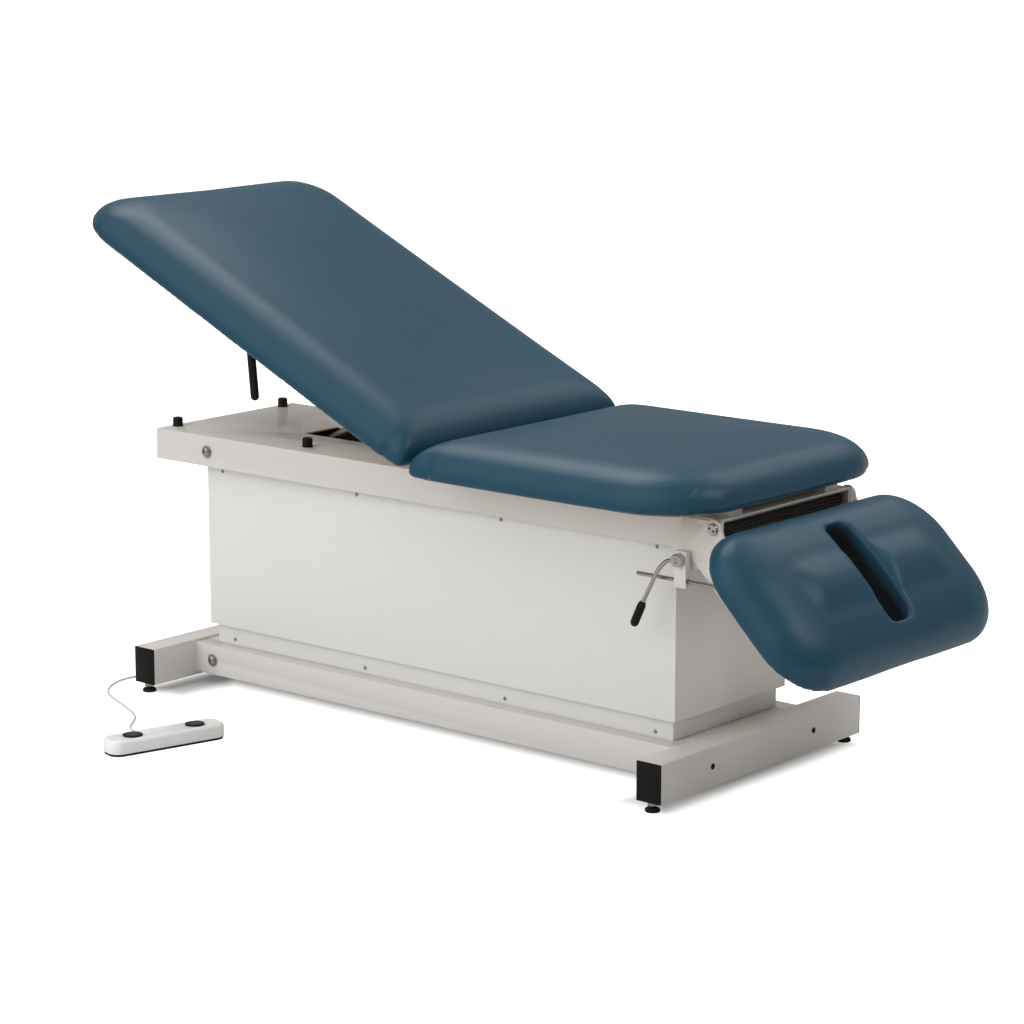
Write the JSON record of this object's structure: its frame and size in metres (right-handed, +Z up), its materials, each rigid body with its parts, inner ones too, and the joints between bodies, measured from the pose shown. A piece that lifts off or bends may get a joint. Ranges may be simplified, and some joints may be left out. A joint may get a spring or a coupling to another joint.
{
  "type": "chiropractic table",
  "caption": "Chiropractic table with a scissor lift base, a raising back section, a fixed seat, a folding drop section with a face slot and a corded foot control.",
  "frame": {"origin": "Floor level at the centre of the four levelling feet of the base.", "axes": "X runs along the table, + towards the folding drop section; Y runs across it, the clamp lever and foot control on the - side; Z is up."},
  "size_m": [1.8011, 1.0194, 0.9957],
  "materials": {
    "painted_frame": "satin",
    "black_plastic": "matte",
    "zinc_steel": "satin",
    "chrome_steel": "polished",
    "vinyl": "satin",
    "board": "plain",
    "black_rubber": "matte",
    "white_plastic": "satin",
    "button_plastic": "satin",
    "cord_jacket": "satin"
  },
  "bodies": {
    "base": {"actuator_base_bracket": "zinc_steel", "base_cross_tubes": "painted_frame", "base_rails": "painted_frame", "control_box": "black_plastic", "cord_gland": "black_plastic", "floor_pan": "painted_frame", "foot_control_base": "black_rubber", "foot_control_cord": "cord_jacket", "foot_control_housing": "white_plastic", "foot_lock_nuts": "zinc_steel", "lower_pivot_bolts": "zinc_steel", "lower_shroud": "painted_frame", "lower_shroud_screws": "zinc_steel", "mains_inlet": "black_plastic", "tube_end_caps": "black_plastic"},
    "levelling_foot_head_near": {"levelling_foot_head_near": "zinc_steel"},
    "levelling_foot_head_far": {"levelling_foot_head_far": "zinc_steel"},
    "levelling_foot_foot_near": {"levelling_foot_foot_near": "zinc_steel"},
    "levelling_foot_foot_far": {"levelling_foot_foot_far": "zinc_steel"},
    "lower_button": {"lower_button": "button_plastic"},
    "raise_button": {"raise_button": "button_plastic"},
    "outer_arms": {"outer_arms": "painted_frame", "outer_crossbar": "zinc_steel", "center_pins": "zinc_steel"},
    "inner_arms": {"inner_arms": "painted_frame", "inner_crossbar": "zinc_steel"},
    "upper_rollers": {"upper_rollers": "zinc_steel"},
    "lower_rollers": {"lower_rollers": "zinc_steel"},
    "actuator_barrel": {"actuator_barrel": "zinc_steel", "actuator_motor": "black_plastic"},
    "actuator_ram": {"actuator_ram": "zinc_steel"},
    "top_frame": {"top_frame_tray": "painted_frame", "end_channel": "painted_frame", "end_channel_insert": "black_rubber", "upper_shroud": "painted_frame", "upper_shroud_screws": "zinc_steel", "upper_pivot_bolts": "zinc_steel", "bumpers": "black_rubber", "drop_hinge_plates": "painted_frame", "drop_hinge_bolts": "chrome_steel", "seat_rails": "painted_frame", "seat_board": "board", "seat_cushion": "vinyl", "back_hinge_ears": "zinc_steel", "back_hinge_pin": "zinc_steel", "prop_track": "zinc_steel"},
    "back_section": {"back_board": "board", "back_cushion": "vinyl", "back_rails": "painted_frame", "prop_bracket": "zinc_steel", "release_bracket": "zinc_steel"},
    "back_prop": {"back_prop": "zinc_steel"},
    "release_lever": {"release_lever": "black_plastic"},
    "drop_section": {"drop_board": "board", "drop_cushion": "vinyl", "drop_arms": "painted_frame"},
    "clamp_rod": {"clamp_rod": "chrome_steel"},
    "clamp_block": {"clamp_block": "white_plastic"},
    "clamp_lever": {"clamp_lever": "chrome_steel", "clamp_lever_grip": "black_rubber"}
  },
  "joints": [
    {"name": "level_head_near", "type": "slide", "parent": "base", "child": "levelling_foot_head_near", "axis": [0, 0, -1], "range_m": [-0.001, 0.015]},
    {"name": "level_head_far", "type": "slide", "parent": "base", "child": "levelling_foot_head_far", "axis": [0, 0, -1], "range_m": [-0.001, 0.015]},
    {"name": "level_foot_near", "type": "slide", "parent": "base", "child": "levelling_foot_foot_near", "axis": [0, 0, -1], "range_m": [-0.001, 0.015]},
    {"name": "level_foot_far", "type": "slide", "parent": "base", "child": "levelling_foot_foot_far", "axis": [0, 0, -1], "range_m": [-0.001, 0.015]},
    {"name": "press_lower_button", "type": "slide", "parent": "base", "child": "lower_button", "axis": [0, 0, -1], "range_m": [0, 0.0025], "stiffness_N_per_m": 400},
    {"name": "press_raise_button", "type": "slide", "parent": "base", "child": "raise_button", "axis": [0, 0, -1], "range_m": [0, 0.0025], "stiffness_N_per_m": 400},
    {"name": "lift", "type": "hinge", "parent": "base", "child": "outer_arms", "pos_m": [-0.575, 0, 0.057], "axis": [0, -1, 0], "range_deg": [-1.27, 15.63]},
    {"name": "scissor_cross", "type": "hinge", "parent": "outer_arms", "child": "inner_arms", "pos_m": [-0.0163, 0, 0.27575], "axis": [0, -1, 0], "range_deg": [-31.32, 2.6]},
    {"name": "scissor_top", "type": "hinge", "parent": "inner_arms", "child": "top_frame", "pos_m": [-0.575, 0, 0.4945], "axis": [0, -1, 0], "range_deg": [-1.31, 15.67]},
    {"name": "upper_roller_spin", "type": "hinge", "parent": "outer_arms", "child": "upper_rollers", "pos_m": [0.54241, 0, 0.4945], "axis": [0, 1, 0], "continuous": true},
    {"name": "lower_roller_spin", "type": "hinge", "parent": "inner_arms", "child": "lower_rollers", "pos_m": [0.54241, 0, 0.057], "axis": [0, 1, 0], "continuous": true},
    {"name": "actuator_swing", "type": "hinge", "parent": "base", "child": "actuator_barrel", "pos_m": [0.3, 0, 0.062], "axis": [0, 1, 0], "range_deg": [-0.68, 7.71]},
    {"name": "actuator_stroke", "type": "slide", "parent": "actuator_barrel", "child": "actuator_ram", "axis": [-0.9629, 0, 0.2699], "range_m": [-0.00672, 0.0789]},
    {"name": "back_raise", "type": "hinge", "parent": "top_frame", "child": "back_section", "pos_m": [0.0778, 0, 0.5575], "axis": [0, 1, 0], "range_deg": [-24.9, 30]},
    {"name": "back_prop_swing", "type": "hinge", "parent": "back_section", "child": "back_prop", "pos_m": [-0.15926, 0, 0.637], "axis": [0, 1, 0], "range_deg": [-53.35, 44.3]},
    {"name": "release_squeeze", "type": "hinge", "parent": "back_section", "child": "release_lever", "pos_m": [-0.40399, -0.245, 0.75699], "axis": [0, 1, 0], "range_deg": [-12, 0], "stiffness_Nm_per_rad": 1.2},
    {"name": "drop_fold", "type": "hinge", "parent": "top_frame", "child": "drop_section", "pos_m": [0.712, 0, 0.511], "axis": [0, 1, 0], "range_deg": [-44.9, 22]},
    {"name": "clamp_rod_pivot", "type": "hinge", "parent": "drop_section", "child": "clamp_rod", "pos_m": [0.795, -0.22, 0.41], "axis": [0, 1, 0], "range_deg": [-9.52, 19.32]},
    {"name": "clamp_block_pivot", "type": "hinge", "parent": "top_frame", "child": "clamp_block", "pos_m": [0.65, -0.22, 0.45], "axis": [0, 1, 0], "range_deg": [-25.78, 12.68]},
    {"name": "clamp_lever_turn", "type": "hinge", "parent": "top_frame", "child": "clamp_lever", "pos_m": [0.65, -0.233, 0.45], "axis": [0, 1, 0], "range_deg": [0, 70]}
  ],
  "couplings": [
    {"joint": "scissor_cross", "follows": "lift", "ratio": -2},
    {"joint": "scissor_top", "follows": "lift", "ratio": 1},
    {"joint": "actuator_swing", "follows": "lift", "ratio": 0.49},
    {"joint": "actuator_stroke", "follows": "lift", "m_per_rad": 0.288},
    {"joint": "back_prop_swing", "follows": "back_raise", "ratio": -1.775},
    {"joint": "clamp_rod_pivot", "follows": "drop_fold", "ratio": -0.428},
    {"joint": "clamp_block_pivot", "follows": "drop_fold", "ratio": 0.572}
  ]
}
